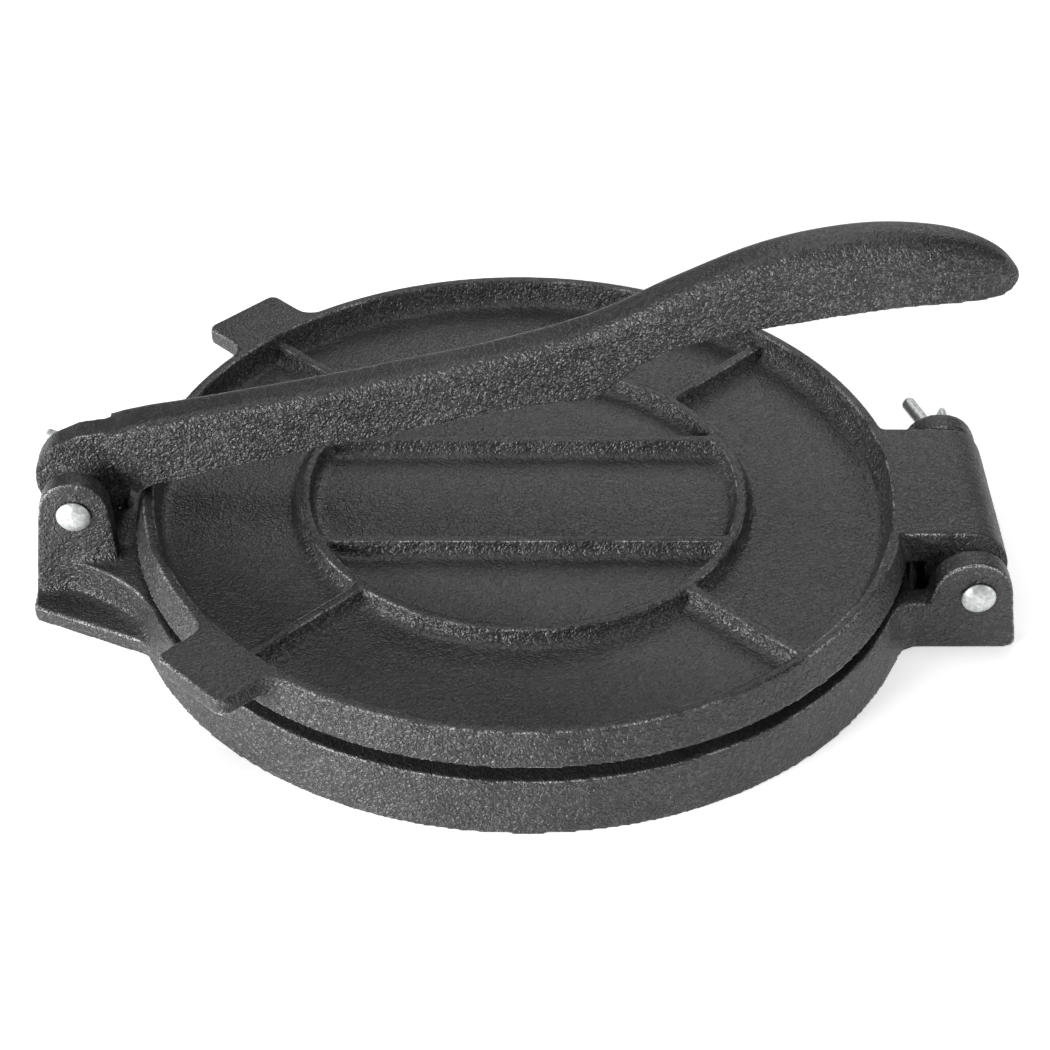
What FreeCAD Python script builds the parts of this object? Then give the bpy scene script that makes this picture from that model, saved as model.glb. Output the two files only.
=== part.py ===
import FreeCAD, Part
import math
import os
import Sketcher

# A cast-iron tortilla press: a round base on two feet, a ribbed top plate hinged at
# one side, and a lever pivoted at the other side that lies over the plate at rest.
# The origin is on the table under the centre of the base. +X runs from the lever's
# pivot to the plate's hinge, and +Z is up. Sizes are millimetres and degrees.

SIZES = {
    # Base casting: a round pressing plate with a skirt that stands on the table
    "base_crown_radius": 107.8,
    "base_foot_radius": 110.5,
    "base_height": 15.3,
    "base_plate_thickness": 5.5,
    "base_skirt_wall": 5.5,
    "underside_ring_radius": 60.0,
    "underside_rib_width": 5.0,
    "underside_rib_height": 5.0,
    "casting_round": 0.9,
    "lug_sweep_radius": 46.0,
    "lug_spread": 25.3,
    "lug_reach": 134.9,
    "lug_straight": 9.6,
    "flange_thickness": 4.7,
    "flange_half_width": 26.6,
    "flange_knee_reach": 102.8,
    "flange_knee_half_width": 41.8,
    "flange_spread": 27.5,
    "flange_blend_radius": 15.0,
    "flange_corner_round": 3.0,
    "foot_corner_round": 2.5,
    "hinge_web_thickness": 4.7,
    "arm_root_blend": 6.0,
    # Ears and axis of the lever's pivot
    "pivot_reach": 122.1,
    "pivot_height": 30.5,
    "pivot_ear_gap": 15.9,
    "pivot_ear_thickness": 6.7,
    "pivot_ear_radius": 9.6,
    "pivot_ear_inset": 11.75,
    "pivot_ear_shift": 4.75,
    "pivot_eye_rise": 0.8,
    # Ears and axis of the plate's hinge
    "hinge_reach": 122.1,
    "hinge_height": 17.8,
    "hinge_ear_gap": 56.6,
    "hinge_ear_thickness": 7.0,
    "hinge_ear_radius": 10.9,
    "hinge_foot_reach": 134.3,
    "hinge_ear_shift": 3.4,
    "hinge_eye_shift": 1.4,
    # Top plate casting
    "pressing_radius": 101.6,
    "pressing_clearance": 0.3,
    "rim_gap": 4.5,
    "rim_height": 9.5,
    "rim_foot_radius": 107.8,
    "rim_crown_radius": 105.0,
    "rim_crown_width": 3.0,
    "rim_wall": 4.74,
    "rib_drop": 3.2,
    "floor_drop": 7.5,
    "wall_draft": 14.0,
    "rib_crown_width": 2.9,
    "ring_rib_radius": 60.8,
    "bar_offset": 23.2,
    "rib_blend": 2.4,
    "rib_bearing": 45.0,
    "tab_reach": 120.6,
    "tab_width": 26.4,
    "tab_thickness": 5.2,
    "tab_bearing": 135.0,
    "tab_corner_round": 2.5,
    "tab_root_blend": 5.0,
    "barrel_length": 49.6,
    "barrel_shift": 1.1,
    # Press handle casting
    "handle_length": 251.5,
    "handle_rise": 78.5,
    "handle_width": 20.0,
    "knuckle_radius": 13.4,
    "knuckle_width": 7.8,
    "knuckle_shift": 0.9,
    "knuckle_ahead": 1.0,
    "knuckle_rise": 1.2,
    # Pins: domed head at the front, split and spread at the back
    "pin_shank_radius": 3.4,
    "pin_clearance": 0.08,
    "pin_head_radius": 4.7,
    "pin_head_height": 2.3,
    "pin_head_edge": 0.6,
    "pin_seat_gap": 0.1,
    "split_width": 0.8,
    "split_stub": 1.2,
    "leg_radius": 2.1,
    "leg_offset": 1.2,
    "leg_tip_round": 1.4,
    "leg_length": 16.0,
    "leg_bend_radius": 4.4,
}

# Handle sections, hand set from the pivot to the tip. Each row gives the reach as a share
# of the handle's length, the underside and the top as shares of its rise above the pivot,
# and half the width at the bottom, half the width at the top and the radius of the top
# corners as shares of its full width.
HANDLE_SECTION_SHARES = (
    (0.034, 0.150, 0.205, 0.385, 0.330, 0.080),
    (0.042, 0.080, 0.213, 0.405, 0.330, 0.120),
    (0.052, 0.020, 0.228, 0.420, 0.330, 0.160),
    (0.062, -0.018, 0.238, 0.425, 0.330, 0.180),
    (0.076, 0.004, 0.250, 0.425, 0.330, 0.190),
    (0.104, 0.033, 0.268, 0.425, 0.330, 0.200),
    (0.133, 0.061, 0.287, 0.420, 0.325, 0.200),
    (0.207, 0.124, 0.338, 0.415, 0.315, 0.200),
    (0.287, 0.187, 0.395, 0.405, 0.310, 0.200),
    (0.366, 0.251, 0.456, 0.400, 0.310, 0.200),
    (0.438, 0.307, 0.513, 0.400, 0.310, 0.205),
    (0.485, 0.341, 0.557, 0.400, 0.315, 0.205),
    (0.517, 0.362, 0.590, 0.405, 0.320, 0.210),
    (0.537, 0.369, 0.613, 0.405, 0.325, 0.210),
    (0.553, 0.377, 0.633, 0.410, 0.325, 0.215),
    (0.565, 0.395, 0.651, 0.410, 0.330, 0.220),
    (0.577, 0.425, 0.670, 0.410, 0.335, 0.225),
    (0.589, 0.462, 0.690, 0.415, 0.340, 0.230),
    (0.605, 0.506, 0.718, 0.415, 0.345, 0.235),
    (0.629, 0.558, 0.762, 0.420, 0.355, 0.250),
    (0.658, 0.600, 0.810, 0.425, 0.365, 0.265),
    (0.700, 0.642, 0.878, 0.435, 0.380, 0.295),
    (0.748, 0.678, 0.938, 0.445, 0.395, 0.320),
    (0.800, 0.716, 0.980, 0.470, 0.415, 0.355),
    (0.852, 0.749, 1.000, 0.490, 0.435, 0.390),
    (0.895, 0.768, 0.995, 0.495, 0.435, 0.390),
    (0.931, 0.778, 0.976, 0.485, 0.425, 0.380),
    (0.959, 0.785, 0.943, 0.445, 0.390, 0.345),
    (0.979, 0.790, 0.906, 0.365, 0.315, 0.265),
    (0.992, 0.799, 0.868, 0.240, 0.205, 0.160),
    (1.000, 0.815, 0.836, 0.095, 0.080, 0.045),
)

# The knuckle's neck, hand set: reach and height from the pivot as shares of its radius
KNUCKLE_NECK_SHARES = ((-0.33, 1.00), (0.04, 1.18), (0.90, 1.32), (0.92, -0.20), (0.09, -0.90))

# Two legs of each split pin: the way each leg bends, in degrees round the pin from +X
# towards +Z as seen from the front, how far it bends away from the pin's axis, and the
# share of the full leg length that it has
HANDLE_PIN_LEG_SHARES = ((200.0, 46.0, 1.0), (20.0, 75.0, 0.6))
HINGE_PIN_LEG_SHARES = ((160.0, 26.0, 1.0), (340.0, 3.0, 1.0))

doc = FreeCAD.newDocument("tortilla_press")
sheet = doc.addObject("Spreadsheet::Sheet", "size")
for row, (alias, value) in enumerate(SIZES.items(), start=1):
    sheet.set("A%d" % row, str(value))
    sheet.setAlias("A%d" % row, alias)
doc.recompute()


def number(expression):
    """Work out an expression in the sheet's names as a plain number."""
    value = sheet.evalExpression(str(expression))
    return float(getattr(value, "Value", value))


def new_body(name):
    body = doc.addObject("PartDesign::Body", name)
    body.Label = name
    return body


def datum(body, role):
    """Find one of the body's own origin planes or axes by its role."""
    return next(part for part in body.Origin.OriginFeatures if part.Role == role)


def new_sketch(body, name, role, offset="0", turn=None):
    """Start a sketch on an origin plane, shifted along its normal and turned in it."""
    sketch = body.newObject("Sketcher::SketchObject", name)
    sketch.AttachmentSupport = [(datum(body, role), "")]
    sketch.MapMode = "FlatFace"
    if turn is not None:
        sketch.AttachmentOffset = FreeCAD.Placement(
            FreeCAD.Vector(), FreeCAD.Rotation(FreeCAD.Vector(0, 0, 1), number(turn)))
        sketch.setExpression("AttachmentOffset.Rotation.Angle", turn)
    sketch.setExpression("AttachmentOffset.Base.z", offset)
    return sketch


def bind(sketch, kind, *arguments):
    """Add a constraint whose value is the expression that comes last."""
    expression = arguments[-1]
    value = number(expression)
    if kind == "Angle":
        value = FreeCAD.Units.Quantity("%.9f deg" % value).getValueAs("rad").Value
    index = sketch.addConstraint(Sketcher.Constraint(kind, *arguments[:-1], value))
    sketch.setExpression("Constraints[%d]" % index, expression)


def pin_point(sketch, line, end, across, up):
    """Hold one end of a line or arc at a place given by two expressions."""
    bind(sketch, "DistanceX", -1, 1, line, end, across)
    bind(sketch, "DistanceY", -1, 1, line, end, up)


def arc_between(start, end, radius):
    """Make the shorter arc that runs counter-clockwise from start to end."""
    chord = end - start
    half = chord.Length * 0.5
    left = FreeCAD.Vector(-chord.y, chord.x, 0).normalize()
    centre = (start + end) * 0.5 + left * ((radius * radius - half * half) ** 0.5)
    return Part.Arc(start, centre - left * radius, end)


def outline(sketch, corners, arcs=None):
    """Draw a closed outline through corners, pairs of expressions in the sheet's names.

    arcs maps the number of a side to its radius expression and to +1 where the side runs
    counter-clockwise round its centre, or to -1 where it runs clockwise.
    """
    arcs = arcs or {}
    points = [FreeCAD.Vector(number(across), number(up), 0) for across, up in corners]
    count = len(corners)
    ends = []
    for side in range(count):
        start, end = points[side], points[(side + 1) % count]
        if side not in arcs:
            sketch.addGeometry(Part.LineSegment(start, end), False)
            ends.append((1, 2))
            continue
        radius, turn = arcs[side]
        if turn > 0:
            sketch.addGeometry(arc_between(start, end, number(radius)), False)
            ends.append((1, 2))
        else:
            sketch.addGeometry(arc_between(end, start, number(radius)), False)
            ends.append((2, 1))
    for side in range(count):
        following = (side + 1) % count
        sketch.addConstraint(
            Sketcher.Constraint("Coincident", side, ends[side][1], following, ends[following][0]))
    for side, (across, up) in enumerate(corners):
        pin_point(sketch, side, ends[side][0], across, up)
        if side in arcs:
            bind(sketch, "Radius", side, arcs[side][0])


def circle(sketch, across, up, radius):
    centre = FreeCAD.Vector(number(across), number(up), 0)
    index = sketch.addGeometry(Part.Circle(centre, FreeCAD.Vector(0, 0, 1), number(radius)), False)
    pin_point(sketch, index, 3, across, up)
    bind(sketch, "Radius", index, radius)


def check(feature):
    """Stop at once if a feature has failed."""
    doc.recompute()
    if "Invalid" in feature.State or "Error" in feature.State or feature.Shape.isNull():
        raise RuntimeError("%s failed: %s" % (feature.Name, feature.State))
    return feature


def pad(body, name, sketch, length, reversed_=False):
    feature = body.newObject("PartDesign::Pad", name)
    feature.Profile = sketch
    feature.setExpression("Length", length)
    feature.Reversed = reversed_
    return check(feature)


def pocket(body, name, sketch, depth=None, draft=None, reversed_=False):
    """Cut a pocket to a depth, or right through both ways when no depth is given."""
    before = body.Shape.Volume
    feature = body.newObject("PartDesign::Pocket", name)
    feature.Profile = sketch
    if depth is None:
        feature.Type = "ThroughAll"
        feature.Midplane = True
    else:
        feature.setExpression("Length", depth)
        feature.Reversed = reversed_
    if draft is not None:
        feature.setExpression("TaperAngle", draft)
    check(feature)
    if not body.Shape.Volume < before:
        raise RuntimeError("%s cuts nothing" % name)
    return feature


def revolve(body, name, sketch):
    feature = body.newObject("PartDesign::Revolution", name)
    feature.Profile = sketch
    feature.ReferenceAxis = (sketch, ["V_Axis"])
    feature.Angle = 360
    return check(feature)


def mirrored(body, name, originals, role="XZ_Plane"):
    feature = body.newObject("PartDesign::Mirrored", name)
    feature.Originals = originals
    feature.MirrorPlane = (datum(body, role), [""])
    body.Tip = feature
    return check(feature)


def polar(body, name, originals, count):
    feature = body.newObject("PartDesign::PolarPattern", name)
    feature.Originals = originals
    feature.Axis = (datum(body, "Z_Axis"), [""])
    feature.Angle = 360
    feature.Occurrences = count
    body.Tip = feature
    return check(feature)


def edges_where(shape, test):
    """Name the edges whose end points and middle all pass the test."""
    names = []
    for index, edge in enumerate(shape.Edges, start=1):
        middle = edge.valueAt((edge.FirstParameter + edge.LastParameter) * 0.5)
        if all(test(point) for point in [vertex.Point for vertex in edge.Vertexes] + [middle]):
            names.append("Edge%d" % index)
    return names


def fillet(body, name, radius, test):
    base = body.Tip
    feature = body.newObject("PartDesign::Fillet", name)
    feature.Base = (base, edges_where(base.Shape, test))
    feature.setExpression("Radius", radius)
    return check(feature)


def near(value, expression):
    """Compare a coordinate with an expression, within a hundredth of the casting round."""
    return abs(value - number(expression)) < number("size.casting_round") * 0.01


# Shared places
PIVOT_EYE = ("-size.pivot_reach", "size.pivot_height + size.pivot_eye_rise")
HINGE_EYE = ("(size.hinge_reach - size.hinge_eye_shift)", "size.hinge_height")
PIVOT_EAR_FRONT = "size.pivot_ear_shift + size.pivot_ear_gap * 0.5"
PIVOT_EAR_REAR = "size.pivot_ear_shift - size.pivot_ear_gap * 0.5 - size.pivot_ear_thickness"
PIVOT_EAR_FACE = "size.pivot_ear_shift + size.pivot_ear_gap * 0.5 + size.pivot_ear_thickness"
HINGE_EAR_FRONT = "size.hinge_ear_shift + size.hinge_ear_gap * 0.5"
HINGE_EAR_REAR = "size.hinge_ear_shift - size.hinge_ear_gap * 0.5 - size.hinge_ear_thickness"
HINGE_EAR_FACE = "size.hinge_ear_shift + size.hinge_ear_gap * 0.5 + size.hinge_ear_thickness"
BORE_RADIUS = "(size.pin_shank_radius + size.pin_clearance)"
RIM_FOOT = "(size.base_height + size.rim_gap)"
RIM_TOP = "(size.base_height + size.rim_gap + size.rim_height)"
RIB_TOP = "(size.base_height + size.rim_gap + size.rim_height - size.rib_drop)"
FLOOR_TOP = "(size.base_height + size.rim_gap + size.rim_height - size.floor_drop)"
RIB_HEIGHT = "(size.floor_drop - size.rib_drop)"


def ear(body, name, offset, thickness, corners, axis, radius):
    """Pad one arched ear: a straight-sided outline whose top is an arc about the axis."""
    sketch = new_sketch(body, name + "_outline", "XZ_Plane", offset)
    points = [FreeCAD.Vector(number(across), number(up), 0) for across, up in corners]
    centre = FreeCAD.Vector(number(axis[0]), number(axis[1]), 0)
    reach = FreeCAD.Vector(number(radius), 0, 0)
    rise = FreeCAD.Vector(0, number(radius), 0)
    chain = points + [centre + reach]
    for start, end in zip(chain, chain[1:]):
        sketch.addGeometry(Part.LineSegment(start, end), False)
    arch = sketch.addGeometry(Part.Arc(centre + reach, centre + rise, centre - reach), False)
    last = sketch.addGeometry(Part.LineSegment(centre - reach, points[0]), False)
    for line in range(len(points) - 1):
        sketch.addConstraint(Sketcher.Constraint("Coincident", line, 2, line + 1, 1))
    sketch.addConstraint(Sketcher.Constraint("Tangent", len(points) - 1, 2, arch, 1))
    sketch.addConstraint(Sketcher.Constraint("Tangent", arch, 2, last, 1))
    sketch.addConstraint(Sketcher.Constraint("Coincident", last, 2, 0, 1))
    for line, (across, up) in enumerate(corners):
        pin_point(sketch, line, 1, across, up)
    pin_point(sketch, arch, 3, *axis)
    bind(sketch, "Radius", arch, radius)
    return pad(body, name, sketch, thickness)


def chord_point(radius, height):
    """Give the reach at which a circle about the centre crosses a height."""
    return "sqrt((%s)^2 - (%s)^2)" % (radius, height)


def build_base():
    """Cast base: pressing plate and skirt, the pivot's lug and ears, the hinge's ears."""
    body = new_body("base_plate")
    underside = "size.base_height - size.base_plate_thickness"
    skirt_inner = "size.base_crown_radius - size.base_skirt_wall"
    profile = new_sketch(body, "plate_profile", "XZ_Plane")
    ring_inner = "size.underside_ring_radius - size.underside_rib_width * 0.5"
    ring_outer = "size.underside_ring_radius + size.underside_rib_width * 0.5"
    rib_foot = underside + " - size.underside_rib_height"
    outline(profile, (
        ("0", "size.base_height"),
        ("size.base_crown_radius", "size.base_height"),
        ("size.base_foot_radius", "0"),
        ("size.base_foot_radius - size.base_skirt_wall", "0"),
        (skirt_inner, underside),
        (ring_outer, underside),
        (ring_outer, rib_foot),
        (ring_inner, rib_foot),
        (ring_inner, underside),
        ("0", underside),
    ))
    revolve(body, "plate_and_skirt", profile)

    rib = new_sketch(body, "underside_rib_plan", "XY_Plane", underside)
    rib_side = "size.underside_rib_width * 0.5"
    rib_start = ring_inner + " + size.underside_rib_width * 0.5"
    rib_end = skirt_inner + " + size.base_skirt_wall * 0.4"
    outline(rib, (
        (rib_start, "-" + rib_side),
        (rib_end, "-" + rib_side),
        (rib_end, rib_side),
        (rib_start, rib_side),
    ))
    first_rib = pad(body, "underside_rib", rib, "size.underside_rib_height", True)
    polar(body, "underside_ribs", [first_rib], 4)

    lean = "(size.lug_reach - size.pivot_reach - size.pivot_ear_radius)"
    lug_end = "(-size.lug_reach + %s * (size.base_height - size.flange_thickness)" % lean
    lug_end += " / (size.pivot_height - size.flange_thickness))"
    lug = new_sketch(body, "lug_plan", "XY_Plane")
    sweep_front = "(size.base_crown_radius * sin(size.lug_spread * 1deg))"
    sweep_rear = "(%s - size.pivot_ear_shift * 2)" % sweep_front
    straight_end = "-size.lug_reach + size.lug_straight"
    outline(lug, (
        (lug_end, "-(%s)" % PIVOT_EAR_FACE),
        (straight_end, "-(%s)" % PIVOT_EAR_FACE),
        ("-" + chord_point("size.base_crown_radius", sweep_front), "-" + sweep_front),
        ("-" + chord_point("size.base_crown_radius", sweep_rear), sweep_rear),
        (straight_end, "-(%s)" % PIVOT_EAR_REAR),
        (lug_end, "-(%s)" % PIVOT_EAR_REAR),
    ), {1: ("size.lug_sweep_radius", -1), 3: ("size.lug_sweep_radius", -1)})
    pad(body, "lug", lug, "size.base_height")

    flange = new_sketch(body, "flange_plan", "XY_Plane")
    blend_front = "(size.base_foot_radius * sin(size.flange_spread * 1deg))"
    blend_rear = "(%s - size.pivot_ear_shift * 2)" % blend_front
    outline(flange, (
        ("-size.lug_reach", "-size.flange_half_width"),
        ("-size.flange_knee_reach", "-size.flange_knee_half_width"),
        ("-" + chord_point("size.base_foot_radius", blend_front), "-" + blend_front),
        ("-" + chord_point("size.base_foot_radius", blend_rear), blend_rear),
        ("-size.flange_knee_reach", "size.flange_knee_half_width - size.pivot_ear_shift * 2"),
        ("-size.lug_reach", "size.flange_half_width - size.pivot_ear_shift * 2"),
    ), {1: ("size.flange_blend_radius", -1), 3: ("size.flange_blend_radius", -1)})
    pad(body, "flange", flange, "size.flange_thickness")

    for name, near_side in (("front_pivot_ear", PIVOT_EAR_FRONT), ("rear_pivot_ear", PIVOT_EAR_REAR)):
        ear(body, name, near_side, "size.pivot_ear_thickness", (
            ("-size.lug_reach", "size.flange_thickness"),
            ("-size.pivot_reach + size.pivot_ear_inset", "size.flange_thickness"),
        ), PIVOT_EYE, "size.pivot_ear_radius")

    arm_root = "sqrt((size.base_crown_radius - size.base_skirt_wall * 0.5)^2 - (%s)^2)" % HINGE_EAR_FACE
    shelf_end = HINGE_EYE[0] + " - size.hinge_ear_radius - size.casting_round"
    for name, near_side in (("front_hinge_ear", HINGE_EAR_FRONT), ("rear_hinge_ear", HINGE_EAR_REAR)):
        ear(body, name, near_side, "size.hinge_ear_thickness", (
            (shelf_end, "size.base_height"),
            (arm_root, "size.base_height"),
            (arm_root, "0"),
            ("size.hinge_foot_reach", "0"),
        ), HINGE_EYE, "size.hinge_ear_radius")

    web = new_sketch(body, "hinge_web_plan", "XY_Plane")
    web_root = "(size.base_foot_radius - size.base_skirt_wall * 0.5)"
    web_front = "-(%s)" % HINGE_EAR_FRONT
    web_rear = "-(%s + size.hinge_ear_thickness)" % HINGE_EAR_REAR
    outline(web, (
        (chord_point(web_root, web_front), web_front),
        ("size.hinge_reach", web_front),
        ("size.hinge_reach", web_rear),
        (chord_point(web_root, web_rear), web_rear),
    ), {3: (web_root, -1)})
    pad(body, "hinge_web", web, "size.hinge_web_thickness")

    def on_foot_corner(point):
        return near(point.x, "size.hinge_foot_reach") and near(point.z, "0")

    def on_flange_corner(point):
        front = near(point.y, "-size.flange_half_width")
        rear = near(point.y, "size.flange_half_width - size.pivot_ear_shift * 2")
        return near(point.x, "-size.lug_reach") and (front or rear)

    def on_arm_root(point):
        reach = math.hypot(point.x, point.y)
        near_disc = number("size.base_crown_radius") * 0.999 < reach < number("size.base_foot_radius") * 1.001
        outer_face = near(point.y, "-(%s)" % HINGE_EAR_FACE) or near(point.y, "-(%s)" % HINGE_EAR_REAR)
        return near_disc and outer_face and point.x > 0

    fillet(body, "foot_corners", "size.foot_corner_round", on_foot_corner)
    fillet(body, "flange_corners", "size.flange_corner_round", on_flange_corner)
    fillet(body, "arm_roots", "size.arm_root_blend", on_arm_root)
    bores = new_sketch(body, "pin_bore_places", "XZ_Plane")
    circle(bores, "-size.pivot_reach", "size.pivot_height", BORE_RADIUS)
    circle(bores, "size.hinge_reach", "size.hinge_height", BORE_RADIUS)
    pocket(body, "pin_bores", bores)
    return body


def sector_sketch(body, name, outer, inner):
    """Draw one quarter of the floor between two radial ribs, the rim and the ring."""
    sketch = new_sketch(body, name, "XY_Plane", RIB_TOP)
    side = "size.rib_crown_width * 0.5"
    slant = "size.rib_bearing * 1deg"
    corners = []
    for radius, sign in ((inner, -1), (outer, -1), (outer, 1), (inner, 1)):
        along = "sqrt((%s)^2 - (%s)^2)" % (radius, side)
        across = "(%s) * cos(%s) + (%s) * sin(%s)" % (along, slant, side, slant)
        up = "((%s) * sin(%s) - (%s) * cos(%s)) * %d" % (along, slant, side, slant, sign)
        corners.append((across, up))
    outline(sketch, corners, {1: (outer, 1), 3: (inner, -1)})
    return sketch


def build_top_plate():
    """Cast top plate: pressing disc, rim, ring, bars, radial ribs, tabs and hinge barrel."""
    body = new_body("top_plate")
    rim_inner = "(size.rim_crown_radius - size.rim_crown_width)"
    lean = "(size.rim_foot_radius - size.rim_crown_radius) / size.rim_height"
    wall_at_ribs = "size.rim_crown_radius + %s * size.rib_drop - size.rim_wall" % lean
    wall_at_floor = "size.rim_crown_radius + %s * size.floor_drop - size.rim_wall" % lean
    recess = "min(%s; %s + %s * tan(size.wall_draft * 1deg))" % (wall_at_ribs, wall_at_floor, RIB_HEIGHT)
    profile = new_sketch(body, "plate_profile", "XZ_Plane")
    outline(profile, (
        ("0", "size.base_height + size.pressing_clearance"),
        ("size.pressing_radius", "size.base_height + size.pressing_clearance"),
        ("size.pressing_radius", RIM_FOOT),
        ("size.rim_foot_radius", RIM_FOOT),
        ("size.rim_crown_radius", RIM_TOP),
        (rim_inner, RIM_TOP),
        (recess, RIB_TOP),
        ("0", RIB_TOP),
    ))
    revolve(body, "disc_and_rim", profile)

    ring_outer = "(size.ring_rib_radius + size.rib_crown_width * 0.5)"
    ring_inner = "(size.ring_rib_radius - size.rib_crown_width * 0.5)"
    sector = sector_sketch(body, "sector_plan", recess, ring_outer)
    first_sector = pocket(body, "sector_pocket", sector, RIB_HEIGHT, "-size.wall_draft")
    polar(body, "sector_pockets", [first_sector], 4)

    bar_near = "(size.bar_offset - size.rib_crown_width * 0.5)"
    bar_far = "(size.bar_offset + size.rib_crown_width * 0.5)"
    middle = new_sketch(body, "middle_plan", "XY_Plane", RIB_TOP)
    near_reach = chord_point(ring_inner, bar_near)
    outline(middle, (
        ("-" + near_reach, "-" + bar_near),
        (near_reach, "-" + bar_near),
        (near_reach, bar_near),
        ("-" + near_reach, bar_near),
    ), {1: (ring_inner, 1), 3: (ring_inner, 1)})
    pocket(body, "middle_pocket", middle, RIB_HEIGHT, "-size.wall_draft")

    side = new_sketch(body, "side_plan", "XY_Plane", RIB_TOP)
    far_reach = chord_point(ring_inner, bar_far)
    outline(side, (
        ("-" + far_reach, bar_far),
        (far_reach, bar_far),
    ), {1: (ring_inner, 1)})
    side_pocket = pocket(body, "side_pocket", side, RIB_HEIGHT, "-size.wall_draft")
    mirrored(body, "side_pockets", [side_pocket])

    def on_floor(point):
        return near(point.z, FLOOR_TOP) and math.hypot(point.x, point.y) > number("size.rib_blend")

    fillet(body, "floor_blends", "size.rib_blend", on_floor)

    tab = new_sketch(body, "tab_plan", "XY_Plane", RIM_TOP, "size.tab_bearing")
    tab_side = "size.tab_width * 0.5"
    tab_root = "size.rim_crown_radius - size.rim_crown_width * 0.5"
    outline(tab, (
        (tab_root, "-" + tab_side),
        ("size.tab_reach", "-" + tab_side),
        ("size.tab_reach", tab_side),
        (tab_root, tab_side),
    ))
    first_tab = pad(body, "tab", tab, "size.tab_thickness", True)
    mirrored(body, "tabs", [first_tab])
    turn = number("size.tab_bearing * 1deg")
    corner_reach = "sqrt(size.tab_reach^2 + (%s)^2)" % tab_side

    def off_tab_middle(point):
        slant = math.radians(turn)
        return abs(point.x * math.sin(slant) - abs(point.y) * math.cos(slant))

    def on_tab_corner(point):
        return near(math.hypot(point.x, point.y), corner_reach)

    def on_tab_root(point):
        reach = math.hypot(point.x, point.y)
        inside = number("size.rim_crown_radius") * 0.999 < reach < number("size.rim_foot_radius")
        return inside and near(off_tab_middle(point), tab_side)

    fillet(body, "tab_corners", "size.tab_corner_round", on_tab_corner)
    fillet(body, "tab_roots", "size.tab_root_blend", on_tab_root)

    tongue = new_sketch(body, "tongue_plan", "XY_Plane", RIM_FOOT)
    front_side = "-size.barrel_length * 0.5 - size.barrel_shift"
    rear_side = "size.barrel_length * 0.5 - size.barrel_shift"
    root_radius = "size.rim_crown_radius - size.rim_crown_width * 0.5"
    outline(tongue, (
        (chord_point(root_radius, front_side), front_side),
        (HINGE_EYE[0], front_side),
        (HINGE_EYE[0], rear_side),
        (chord_point(root_radius, rear_side), rear_side),
    ), {3: (root_radius, -1)})
    pad(body, "tongue", tongue, "size.rim_height")

    barrel = new_sketch(body, "barrel_end", "XZ_Plane", "-(%s)" % rear_side)
    circle(barrel, *HINGE_EYE, RIM_TOP + " - size.hinge_height")
    pad(body, "barrel", barrel, "size.barrel_length")

    bore = new_sketch(body, "barrel_bore_place", "XZ_Plane")
    circle(bore, "size.hinge_reach", "size.hinge_height", BORE_RADIUS)
    pocket(body, "barrel_bore", bore)
    return body


def build_handle():
    """Cast lever: a lofted beam and grip, with a narrow knuckle between the pivot ears."""
    body = new_body("press_handle")
    sections = []
    for index, (reach, low, high, foot, crown, corner) in enumerate(HANDLE_SECTION_SHARES):
        place = "-size.pivot_reach + size.handle_length * %g" % reach
        sketch = new_sketch(body, "section_%02d" % index, "YZ_Plane", place)
        bottom = PIVOT_EYE[1] + " + size.handle_rise * %g" % low
        top = PIVOT_EYE[1] + " + size.handle_rise * %g" % high
        foot_half = "size.handle_width * %g" % foot
        crown_half = "size.handle_width * %g" % crown
        round_ = "size.handle_width * %g" % corner
        shoulder = "%s - %s" % (top, round_)
        outline(sketch, (
            ("-" + foot_half, bottom),
            (foot_half, bottom),
            (crown_half, shoulder),
            ("%s - %s" % (crown_half, round_), top),
            ("-(%s - %s)" % (crown_half, round_), top),
            ("-" + crown_half, shoulder),
        ), {2: (round_, 1), 4: (round_, 1)})
        sections.append(sketch)
    doc.recompute()
    loft = body.newObject("PartDesign::AdditiveLoft", "beam_and_grip")
    loft.Profile = sections[0]
    loft.Sections = sections[1:]
    loft.Ruled = False
    check(loft)

    knuckle_rear = "size.knuckle_shift - size.knuckle_width * 0.5"
    knuckle = new_sketch(body, "knuckle_end", "XZ_Plane", knuckle_rear)
    circle(knuckle, "-size.pivot_reach + size.knuckle_ahead", "size.pivot_height + size.knuckle_rise",
           "size.knuckle_radius")
    pad(body, "knuckle", knuckle, "size.knuckle_width")
    neck = new_sketch(body, "neck_side", "XZ_Plane", knuckle_rear)
    outline(neck, [
        ("-size.pivot_reach + size.knuckle_radius * %g" % across,
         "size.pivot_height + size.knuckle_radius * %g" % up)
        for across, up in KNUCKLE_NECK_SHARES
    ])
    pad(body, "neck", neck, "size.knuckle_width")

    bore = new_sketch(body, "pivot_bore_place", "XZ_Plane")
    circle(bore, "-size.pivot_reach", "size.pivot_height", BORE_RADIUS)
    pocket(body, "pivot_bore", bore)
    return body


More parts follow.
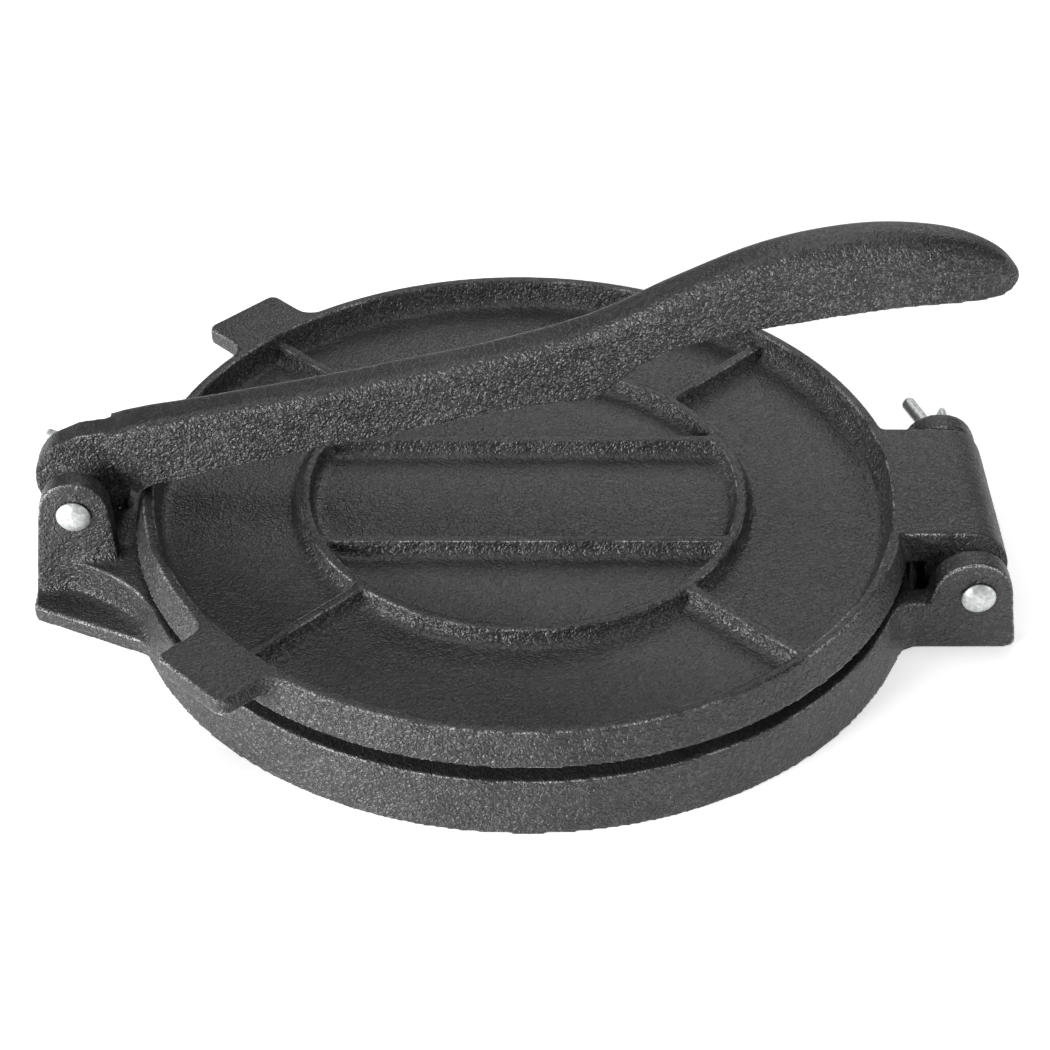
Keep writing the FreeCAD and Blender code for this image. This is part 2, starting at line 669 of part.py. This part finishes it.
def build_pin(name, reach, height, front, rear, legs):
    """Split pin: a domed head, a shank through both ears, and two legs bent apart."""
    radius = number("size.pin_shank_radius")
    head_radius = number("size.pin_head_radius")
    head_edge = number("size.pin_head_edge")
    head_height = number("size.pin_head_height")
    front_face = number(front) - number("size.pin_seat_gap")
    rear_face = number(rear)
    stub = number("size.split_stub")
    half_split = number("size.split_width") * 0.5
    leg_radius = number("size.leg_radius")
    leg_offset = number("size.leg_offset")
    chord = (leg_radius ** 2 - (leg_offset - half_split) ** 2) ** 0.5
    leg_length = number("size.leg_length")
    bend_radius = number("size.leg_bend_radius")
    back = FreeCAD.Vector(0, 1, 0)
    start = FreeCAD.Vector(0, front_face, 0)
    shank = Part.makeCylinder(radius, rear_face + stub - front_face, start, back)

    dome_foot = front_face - head_edge
    crown = front_face - head_height
    dome_radius = (head_radius ** 2 + (head_height - head_edge) ** 2) / (2 * (head_height - head_edge))
    dome_middle = FreeCAD.Vector(
        head_radius * 0.5, crown + dome_radius - (dome_radius ** 2 - head_radius ** 2 * 0.25) ** 0.5, 0)
    corners = [
        FreeCAD.Vector(0, crown, 0),
        FreeCAD.Vector(head_radius, dome_foot, 0),
        FreeCAD.Vector(head_radius, front_face, 0),
        FreeCAD.Vector(0, front_face, 0),
    ]
    dome = Part.Arc(corners[0], dome_middle, corners[1]).toShape()
    sides = [Part.LineSegment(a, b).toShape() for a, b in zip(corners[1:], corners[2:] + corners[:1])]
    head = Part.Face(Part.Wire([dome] + sides)).revolve(FreeCAD.Vector(), back, 360)
    shape = shank.fuse(head)

    for bearing, bend, share in legs:
        out = FreeCAD.Rotation(FreeCAD.Vector(0, -1, 0), bearing).multVec(FreeCAD.Vector(1, 0, 0))
        across = back.cross(out)
        root = FreeCAD.Vector(0, rear_face + stub, 0) + out * leg_offset
        low = FreeCAD.Vector(0, rear_face + stub, 0) + out * half_split
        rim = Part.Arc(low - across * chord, root + out * leg_radius, low + across * chord).toShape()
        flat = Part.LineSegment(low + across * chord, low - across * chord).toShape()
        profile = Part.Wire([rim, flat])
        pivot = root + out * bend_radius
        turn = FreeCAD.Rotation(across, bend)
        half_turn = FreeCAD.Rotation(across, bend * 0.5)
        middle = pivot + half_turn.multVec(out * -bend_radius)
        end = pivot + turn.multVec(out * -bend_radius)
        tip = end + turn.multVec(back) * leg_length * share
        path = Part.Wire([Part.Arc(root, middle, end).toShape(), Part.LineSegment(end, tip).toShape()])
        leg = path.makePipeShell([profile], True, True)
        tip_edges = [
            edge for edge in leg.Edges
            if all((vertex.Point - tip).Length < leg_radius * 1.01 for vertex in edge.Vertexes)]
        shape = shape.fuse(leg.makeFillet(number("size.leg_tip_round"), tip_edges))

    pin = doc.addObject("Part::Feature", name)
    pin.Label = name
    pin.Shape = shape.removeSplitter()
    pin.Placement = FreeCAD.Placement(
        FreeCAD.Vector(number(reach), 0, number(height)), FreeCAD.Rotation())
    return pin


bodies = [
    build_base(),
    build_top_plate(),
    build_handle(),
    build_pin("handle_pin", "-size.pivot_reach", "size.pivot_height",
              "-(%s)" % PIVOT_EAR_FACE, "-(%s)" % PIVOT_EAR_REAR, HANDLE_PIN_LEG_SHARES),
    build_pin("hinge_pin", "size.hinge_reach", "size.hinge_height",
              "-(%s)" % HINGE_EAR_FACE, "-(%s)" % HINGE_EAR_REAR, HINGE_PIN_LEG_SHARES),
]

doc.recompute()
for item in doc.Objects:
    if "Invalid" in item.State or "Error" in item.State:
        raise RuntimeError("%s failed" % item.Name)
os.makedirs("parts", exist_ok=True)
for body in bodies:
    shape = body.Shape
    if shape.isNull() or not shape.isValid() or len(shape.Solids) != 1:
        raise RuntimeError("%s has no single valid solid" % body.Label)
    shape.exportStep("parts/%s.step" % body.Label)
    box = shape.BoundBox
    print(body.Label, "volume", round(shape.Volume / 1000, 1), "cm3, box", [
        round(value, 1) for value in (box.XMin, box.XMax, box.YMin, box.YMax, box.ZMin, box.ZMax)])
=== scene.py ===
import math

import bmesh
import bpy
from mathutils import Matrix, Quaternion, Vector


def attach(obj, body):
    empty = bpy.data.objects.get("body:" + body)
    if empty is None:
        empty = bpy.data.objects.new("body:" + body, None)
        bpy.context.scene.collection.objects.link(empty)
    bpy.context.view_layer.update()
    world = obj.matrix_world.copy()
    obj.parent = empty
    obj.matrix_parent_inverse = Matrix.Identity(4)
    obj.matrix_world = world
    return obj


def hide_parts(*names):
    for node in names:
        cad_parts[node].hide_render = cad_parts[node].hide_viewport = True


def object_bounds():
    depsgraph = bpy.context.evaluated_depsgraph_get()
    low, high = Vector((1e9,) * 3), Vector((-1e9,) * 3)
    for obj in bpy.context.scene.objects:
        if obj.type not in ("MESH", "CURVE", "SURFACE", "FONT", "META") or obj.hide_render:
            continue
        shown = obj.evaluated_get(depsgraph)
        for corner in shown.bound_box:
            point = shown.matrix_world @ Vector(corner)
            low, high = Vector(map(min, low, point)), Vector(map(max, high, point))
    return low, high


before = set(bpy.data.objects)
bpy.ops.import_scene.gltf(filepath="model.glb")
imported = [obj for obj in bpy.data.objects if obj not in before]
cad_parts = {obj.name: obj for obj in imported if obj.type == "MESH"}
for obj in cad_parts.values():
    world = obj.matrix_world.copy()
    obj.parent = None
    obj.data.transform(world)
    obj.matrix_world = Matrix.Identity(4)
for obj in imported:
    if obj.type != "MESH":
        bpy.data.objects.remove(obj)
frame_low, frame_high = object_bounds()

scene = bpy.context.scene

# Base: one heavy grey-iron sand casting that carries the ears of both hinges. Its skin
# keeps the pebbles of the mould, is oiled and baked black, and is a little worn on edges, which also
# carry a painted highlight.


def math_level(tree, operation, *values):
    """Work out a level from others, each a socket or a plain number."""
    node = tree.nodes.new("ShaderNodeMath")
    node.operation = operation
    for socket, value in zip(node.inputs, values):
        if isinstance(value, (int, float)):
            socket.default_value = value
        else:
            tree.links.new(value, socket)
    return node.outputs["Value"]


def band(tree, level, low, high, bottom=0.0, top=1.0, interpolation="LINEAR"):
    """Go from bottom to top while a level goes from low to high."""
    node = tree.nodes.new("ShaderNodeMapRange")
    node.interpolation_type = interpolation
    node.inputs["From Min"].default_value = low
    node.inputs["From Max"].default_value = high
    node.inputs["To Min"].default_value = bottom
    node.inputs["To Max"].default_value = top
    tree.links.new(level, node.inputs["Value"])
    return node.outputs["Result"]


def skin_tree():
    """Build the node tree that turns a plain solid into the skin of a sand casting."""
    tree = bpy.data.node_groups.new("sand_cast_skin", "GeometryNodeTree")
    tree.interface.new_socket("Geometry", in_out="INPUT", socket_type="NodeSocketGeometry")
    sizes = {
        "Edge Rounding": 0.5, "Corner Fill": 0.0, "Pebble Size": 0.0016, "Pebble Depth": 0.00012,
        "Swell Size": 0.014, "Swell Depth": 0.0003, "Top Smoothness": 0.7, "Wear And Highlight Height": 0.0002,
        "Seed": 3.0}
    for name, start in sizes.items():
        socket = tree.interface.new_socket(name, in_out="INPUT", socket_type="NodeSocketFloat")
        socket.default_value = start
    tree.interface.new_socket("Material", in_out="INPUT", socket_type="NodeSocketMaterial")
    tree.interface.new_socket("Geometry", in_out="OUTPUT", socket_type="NodeSocketGeometry")
    nodes, links = tree.nodes, tree.links
    given = nodes.new("NodeGroupInput").outputs
    result = nodes.new("NodeGroupOutput")
    place = nodes.new("GeometryNodeInputPosition").outputs["Position"]
    normal = nodes.new("GeometryNodeInputNormal").outputs["Normal"]

    def vector_node(operation, first, second):
        node = nodes.new("ShaderNodeVectorMath")
        node.operation = operation
        links.new(first, node.inputs[0])
        links.new(second, node.inputs["Scale" if operation == "SCALE" else 1])
        return node.outputs["Value" if operation == "DOT_PRODUCT" else "Vector"]

    def settling(rounds):
        """Average each point with its neighbours, and give the way it would move."""
        blur = nodes.new("GeometryNodeBlurAttribute")
        blur.data_type = "FLOAT_VECTOR"
        blur.inputs["Iterations"].default_value = rounds
        value = next(socket for socket in blur.inputs if socket.enabled and socket.name == "Value")
        links.new(place, value)
        average = next(socket for socket in blur.outputs if socket.enabled)
        return vector_node("SUBTRACT", average, place)

    def moved(geometry, direction, amount):
        node = nodes.new("GeometryNodeSetPosition")
        links.new(geometry, node.inputs["Geometry"])
        links.new(vector_node("SCALE", direction, amount), node.inputs["Offset"])
        return node.outputs["Geometry"]

    def noted(geometry, name, level):
        """Keep a level on each point under a name, for the material to read."""
        node = nodes.new("GeometryNodeStoreNamedAttribute")
        node.inputs["Name"].default_value = name
        links.new(geometry, node.inputs["Geometry"])
        links.new(level, node.inputs["Value"])
        return node.outputs["Geometry"]

    def grain(kind, detail, distortion):
        """Give the lift of each point by the pebbles or by the swell of the skin."""
        # The noise seldom rises past its peak, so the skin lies just inside the solid
        peak = 0.75
        node = nodes.new("ShaderNodeTexNoise")
        node.noise_dimensions = "4D"
        node.inputs["Detail"].default_value = detail
        node.inputs["Distortion"].default_value = distortion
        links.new(place, node.inputs["Vector"])
        links.new(given["Seed"], node.inputs["W"])
        links.new(math_level(tree, "DIVIDE", 1.0, given[kind + " Size"]), node.inputs["Scale"])
        level = math_level(tree, "SUBTRACT", node.outputs["Fac"], peak)
        return math_level(tree, "MULTIPLY", level, given[kind + " Depth"])

    # Concave corners fill with a broad blend, as molten iron leaves them
    broad_rounds = 26
    fine_rounds = 5
    broad = settling(broad_rounds)
    hollow = math_level(tree, "GREATER_THAN", vector_node("DOT_PRODUCT", broad, normal), 0.0)
    fill = math_level(tree, "MULTIPLY", hollow, given["Corner Fill"])
    filled = moved(given["Geometry"], broad, fill)
    rounded = moved(filled, settling(fine_rounds), given["Edge Rounding"])

    # Convex edges are noted before the pebbles hide them: that is where the oil wears off, and where
    # the finish paints a lighter edge as a painted highlight
    wear_and_highlight_rounds = 6
    sinking = vector_node("DOT_PRODUCT", settling(wear_and_highlight_rounds), normal)
    height = math_level(tree, "MULTIPLY", sinking, -1.0)
    wear_and_highlight = math_level(tree, "DIVIDE", height, given["Wear And Highlight Height"])
    edged = noted(rounded, "edge_wear_and_highlight", wear_and_highlight)

    # Faces that looked up in the mould are smoother than its upright walls
    upright = nodes.new("ShaderNodeSeparateXYZ")
    links.new(normal, upright.inputs["Vector"])
    flat_top = band(tree, upright.outputs["Z"], low=0.55, high=0.92, interpolation="SMOOTHSTEP")
    smoothed = math_level(tree, "MULTIPLY", flat_top, given["Top Smoothness"])
    ready = noted(edged, "coarse_skin", math_level(tree, "SUBTRACT", 1.0, smoothed))

    # Only the walls need their pebbles in the mesh: flat faces leave them to the finish
    flatness = math_level(tree, "ABSOLUTE", upright.outputs["Z"])
    wall = band(tree, flatness, low=0.75, high=0.55)
    pebbles = grain("Pebble", detail=2.0, distortion=0.8)
    swell = grain("Swell", detail=1.0, distortion=0.0)
    lift = math_level(tree, "MULTIPLY", math_level(tree, "ADD", pebbles, swell), wall)
    grained = moved(ready, normal, lift)

    smooth = nodes.new("GeometryNodeSetShadeSmooth")
    links.new(grained, smooth.inputs["Geometry"])
    realize = nodes.new("GeometryNodeRealizeInstances")
    links.new(smooth.outputs["Geometry"], realize.inputs["Geometry"])
    finish = nodes.new("GeometryNodeSetMaterial")
    links.new(realize.outputs["Geometry"], finish.inputs["Geometry"])
    links.new(given["Material"], finish.inputs["Material"])
    links.new(finish.outputs["Geometry"], result.inputs["Geometry"])
    return tree


def finished_mesh(thing):
    """Give the mesh that an object's modifiers make."""
    bpy.context.view_layer.update()
    evaluated = thing.evaluated_get(bpy.context.evaluated_depsgraph_get())
    return bpy.data.meshes.new_from_object(evaluated)


def triangle_count(mesh):
    return sum(len(polygon.vertices) - 2 for polygon in mesh.polygons)


def cast_piece(node, body, material, grid_size, most_triangles, sizes):
    """Replace a plain solid by its cast skin: remeshed, rounded, pebbled and thinned out."""
    # The solid comes as loose triangles, which are joined where their corners meet
    merge_share = 0.02
    solid = bmesh.new()
    solid.from_mesh(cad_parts[node].data)
    bmesh.ops.remove_doubles(solid, verts=solid.verts, dist=grid_size * merge_share)
    mesh = bpy.data.meshes.new(node + "_solid")
    solid.to_mesh(mesh)
    solid.free()
    blank = bpy.data.objects.new(node + "_blank", mesh)
    scene.collection.objects.link(blank)
    grid = blank.modifiers.new("grid", "REMESH")
    grid.mode = "VOXEL"
    grid.voxel_size = grid_size
    skin = blank.modifiers.new("skin", "NODES")
    skin.node_group = cast_skin
    identifiers = {
        item.name: item.identifier
        for item in cast_skin.interface.items_tree if item.in_out == "INPUT"}
    for name, value in sizes.items():
        skin[identifiers[name]] = value
    skin[identifiers["Material"]] = material
    cast = finished_mesh(blank)
    if triangle_count(cast) > most_triangles:
        thin = blank.modifiers.new("thin", "DECIMATE")
        thin.ratio = most_triangles / triangle_count(cast)
        cast = finished_mesh(blank)
    bpy.data.objects.remove(blank)
    cast.name = node + "_skin"
    piece = bpy.data.objects.new(node + "_skin", cast)
    scene.collection.objects.link(piece)
    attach(piece, body)
    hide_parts(node)


def new_finish(name):
    """Start a material, and give it with its shader."""
    material = bpy.data.materials.new(name)
    material.use_nodes = True
    return material, material.node_tree.nodes["Principled BSDF"]


def noise_level(tree, scale, detail, distortion=0.0):
    """Add a noise over the piece's own place, in cells to the metre, and give its level."""
    noise = tree.nodes.new("ShaderNodeTexNoise")
    noise.inputs["Scale"].default_value = scale
    noise.inputs["Detail"].default_value = detail
    noise.inputs["Distortion"].default_value = distortion
    place = tree.nodes.new("ShaderNodeTexCoord").outputs["Object"]
    tree.links.new(place, noise.inputs["Vector"])
    return noise.outputs["Fac"]


def two_tones(tree, level, low, high, dark, light):
    """Colour a level: dark up to low, and light from high on."""
    ramp = tree.nodes.new("ShaderNodeValToRGB")
    for stop, position, colour in zip(ramp.color_ramp.elements, (low, high), (dark, light)):
        stop.position = position
        stop.color = (*colour, 1)
    tree.links.new(level, ramp.inputs["Fac"])
    return ramp.outputs["Color"]


def raised(tree, shader, height, distance):
    """Raise a finish by a level, over a distance that is a socket or a plain number."""
    bump = tree.nodes.new("ShaderNodeBump")
    bump.inputs["Strength"].default_value = 1.0
    if isinstance(distance, float):
        bump.inputs["Distance"].default_value = distance
    else:
        tree.links.new(distance, bump.inputs["Distance"])
    tree.links.new(height, bump.inputs["Height"])
    tree.links.new(bump.outputs["Normal"], shader.inputs["Normal"])


def seasoned_iron(name, pebble, depth, roughness, glint):
    """Black seasoned cast iron: a satin baked-oil film over the pebbles of the sand mould."""
    iron, shader = new_finish(name)
    tree = iron.node_tree
    shader.inputs["Metallic"].default_value = 0.0
    shader.inputs["IOR"].default_value = 1.55

    def noted_level(attribute):
        """Read a level that the skin keeps on its points."""
        node = tree.nodes.new("ShaderNodeAttribute")
        node.attribute_name = attribute
        return node.outputs["Fac"]

    def tinted(below, level, grey):
        """Lay a grey over a colour, as strongly as the level says."""
        node = tree.nodes.new("ShaderNodeMix")
        node.data_type = "RGBA"
        node.inputs["B"].default_value = (grey, grey, grey, 1)
        tree.links.new(level, node.inputs["Factor"])
        tree.links.new(below, node.inputs["A"])
        return node.outputs["Result"]

    # The pebbles: worm-like ridges of the sand, with finer grains and slow waves on them
    grain_share = 0.12
    coarse = noted_level("coarse_skin")
    ridges = noise_level(tree, scale=1 / pebble, detail=0.4, distortion=1.2)
    grains = noise_level(tree, scale=2.4 / pebble, detail=1.0)
    waves = noise_level(tree, scale=0.11 / pebble, detail=1.0)
    pebbled = math_level(tree, "MULTIPLY_ADD", grains, grain_share, ridges)
    raised(tree, shader, math_level(tree, "ADD", waves, pebbled),
           distance=math_level(tree, "MULTIPLY", coarse, depth))

    # The oil film: darker and duller patches, with the crests of the pebbles painted lighter as a
    # painted highlight, the glint of each crest
    patches = noise_level(tree, scale=60.0, detail=5.0)
    oil = two_tones(tree, patches, low=0.30, high=0.75,
                    dark=(0.014, 0.014, 0.0145), light=(0.024, 0.024, 0.0245))
    # Painted highlight: the crests of the pebbles are tinted a lighter grey that stands in for their
    # glints
    crest_highlight = band(tree, ridges, low=0.50, high=0.68, top=glint)
    crest_highlighted = tinted(oil, math_level(tree, "MULTIPLY", crest_highlight, coarse), grey=0.12)
    spread = 0.07
    dullness = band(tree, patches, low=0.0, high=1.0, bottom=roughness - spread, top=roughness + spread)
    tree.links.new(dullness, shader.inputs["Roughness"])

    # Painted highlight: sparse bright grains on the coarse walls, painted glints of the pebbles
    glint_patches = band(tree, patches, low=0.50, high=0.60, top=0.8)
    glint_grains = band(tree, grains, low=0.66, high=0.74)
    painted_glints = math_level(tree, "MULTIPLY", glint_patches, glint_grains)
    glint_speckled = tinted(crest_highlighted, math_level(tree, "MULTIPLY", painted_glints, coarse), grey=0.30)

    # Bare grey iron in broken lines along the edges, where the oil has worn off; the same lighter grey
    # also paints the highlight along the edges
    wear_and_highlight_patches = band(tree, patches, low=0.42, high=0.56)
    wear_and_highlight_grains = band(tree, grains, low=0.44, high=0.60)
    breaks = math_level(tree, "MULTIPLY", wear_and_highlight_patches, wear_and_highlight_grains)
    edges = band(tree, noted_level("edge_wear_and_highlight"), low=0.90, high=1.15)
    worn_and_highlit = tinted(glint_speckled, math_level(tree, "MULTIPLY", edges, breaks), grey=0.34)
    tree.links.new(worn_and_highlit, shader.inputs["Base Color"])
    return iron


cast_skin = skin_tree()
plate_iron = seasoned_iron("plate_iron", pebble=0.0011, depth=0.00072, roughness=0.41, glint=0.35)
cast_piece("base_plate", "base", plate_iron, grid_size=0.0006, most_triangles=195000, sizes={
    "Corner Fill": 1.0, "Edge Rounding": 0.5, "Pebble Size": 0.0024, "Pebble Depth": 0.00022,
    "Top Smoothness": 0.5, "Seed": 3.0})

# Top plate: a second iron casting with a rim, a ring, two bars and four radial ribs that
# stiffen it. Its floors are smoother than its walls, and its pin runs through its barrel.
cast_piece("top_plate", "plate", plate_iron, grid_size=0.0006, most_triangles=195000, sizes={
    "Edge Rounding": 0.4, "Pebble Size": 0.0024, "Pebble Depth": 0.00018,
    "Top Smoothness": 0.5, "Seed": 7.0})

# Handle: one iron casting, a lever with a half-round grip. Its sides keep the coarsest
# skin of the mould, the top of its beam is smoother, and a pin holds its knuckle.
handle_iron = seasoned_iron("handle_iron", pebble=0.0011, depth=0.00095, roughness=0.41, glint=0.5)
cast_piece("press_handle", "lever", handle_iron, grid_size=0.0005, most_triangles=195000,
           sizes={"Pebble Size": 0.0018, "Pebble Depth": 0.00024, "Seed": 11.0})

# Pins: two zinc-plated steel rivets with domed heads, one through each pair of ears.
# Each is split at the back, and its two legs are bent apart so that it can't slide out.
zinc, zinc_shader = new_finish("bright_zinc")
zinc_shader.inputs["Metallic"].default_value = 0.6
zinc_shader.inputs["Roughness"].default_value = 0.42
spangle = noise_level(zinc.node_tree, scale=900.0, detail=4.0, distortion=0.6)
zinc_tones = two_tones(zinc.node_tree, spangle, low=0.35, high=0.62,
                       dark=(0.46, 0.48, 0.47), light=(0.70, 0.72, 0.71))
zinc.node_tree.links.new(zinc_tones, zinc_shader.inputs["Base Color"])
raised(zinc.node_tree, zinc_shader, spangle, distance=0.00008)
for pin in ("handle_pin", "hinge_pin"):
    cast_piece(pin, "base", zinc, grid_size=0.00022, most_triangles=60000, sizes={
        "Edge Rounding": 0.6, "Pebble Depth": 0.00002, "Swell Depth": 0.0, "Seed": 5.0})

# Floor and softboxes: a pale matt sweep under a wide overhead softbox, with the key light
# low at the front left, a strip of light behind and a weak box at the right.
floor_width = 6.0
bpy.ops.mesh.primitive_plane_add(size=floor_width, location=(0, 0, frame_low.z))
floor = bpy.context.object
floor.name = "studio_floor"
sweep, sweep_shader = new_finish("pale_sweep")
sweep_shader.inputs["Base Color"].default_value = (0.95, 0.95, 0.95, 1)
sweep_shader.inputs["Roughness"].default_value = 0.9
sweep_shader.inputs["Emission Color"].default_value = (1, 1, 1, 1)
sweep_shader.inputs["Emission Strength"].default_value = 0.5
floor.data.materials.append(sweep)


def turn_towards(place, aim):
    """Give the turn of a lamp or camera that looks from its place at its aim."""
    return (Vector(aim) - Vector(place)).to_track_quat("-Z", "Y")


def softbox(name, place, aim, width, height, power):
    lamp = bpy.data.lights.new(name, "AREA")
    lamp.shape = "RECTANGLE"
    lamp.size = width
    lamp.size_y = height
    lamp.energy = power
    box = bpy.data.objects.new(name, lamp)
    box.location = place
    box.rotation_mode = "QUATERNION"
    box.rotation_quaternion = turn_towards(place, aim)
    scene.collection.objects.link(box)


middle = (0, 0, 0)
low_middle = (0, 0, 0.02)
softbox("overhead_softbox", (-0.2, 0.2, 1.4), middle, width=1.2, height=1.0, power=9)
softbox("front_left_softbox", (-1.05, -0.80, 0.30), low_middle, width=0.55, height=0.35, power=27)
softbox("back_softbox", (0.35, 1.5, 0.85), middle, width=1.5, height=0.6, power=7)
softbox("right_softbox", (1.1, -0.5, 0.5), low_middle, width=0.6, height=0.6, power=5)

# Room: the soft light that comes from all round the studio, brighter low down and
# darker towards the ceiling, so that flat faces stay darker than upright ones.
world = bpy.data.worlds.new("studio")
scene.world = world
world.use_nodes = True
room, room_links = world.node_tree.nodes, world.node_tree.links
looking = room.new("ShaderNodeTexCoord")
rise = room.new("ShaderNodeSeparateXYZ")
room_links.new(looking.outputs["Object"], rise.inputs["Vector"])
ceiling = room.new("ShaderNodeMapRange")
ceiling.inputs["From Max"].default_value = 0.9
ceiling.inputs["To Min"].default_value = 0.42
ceiling.inputs["To Max"].default_value = 0.10
room_links.new(rise.outputs["Z"], ceiling.inputs["Value"])
room_links.new(ceiling.outputs["Result"], room["Background"].inputs["Strength"])
scene.view_settings.view_transform = "Standard"

# Camera: a long lens in front of the plates and well above them, a little to the left,
# aimed just in front of the middle of the base and turned by about half a degree.
camera_place = Vector((-0.0092, -0.5577, 0.4430))
camera_aim = Vector((0.00035, -0.00973, 0.0200))
camera_roll = math.radians(0.61)
camera_data = bpy.data.cameras.new("camera")
camera_data.sensor_width = 36.0
camera_data.lens = 85.7
camera = bpy.data.objects.new("camera", camera_data)
camera.location = camera_place
camera.rotation_mode = "QUATERNION"
roll = Quaternion((0, 0, 1), camera_roll)
camera.rotation_quaternion = turn_towards(camera_place, camera_aim) @ roll
scene.collection.objects.link(camera)
scene.camera = camera
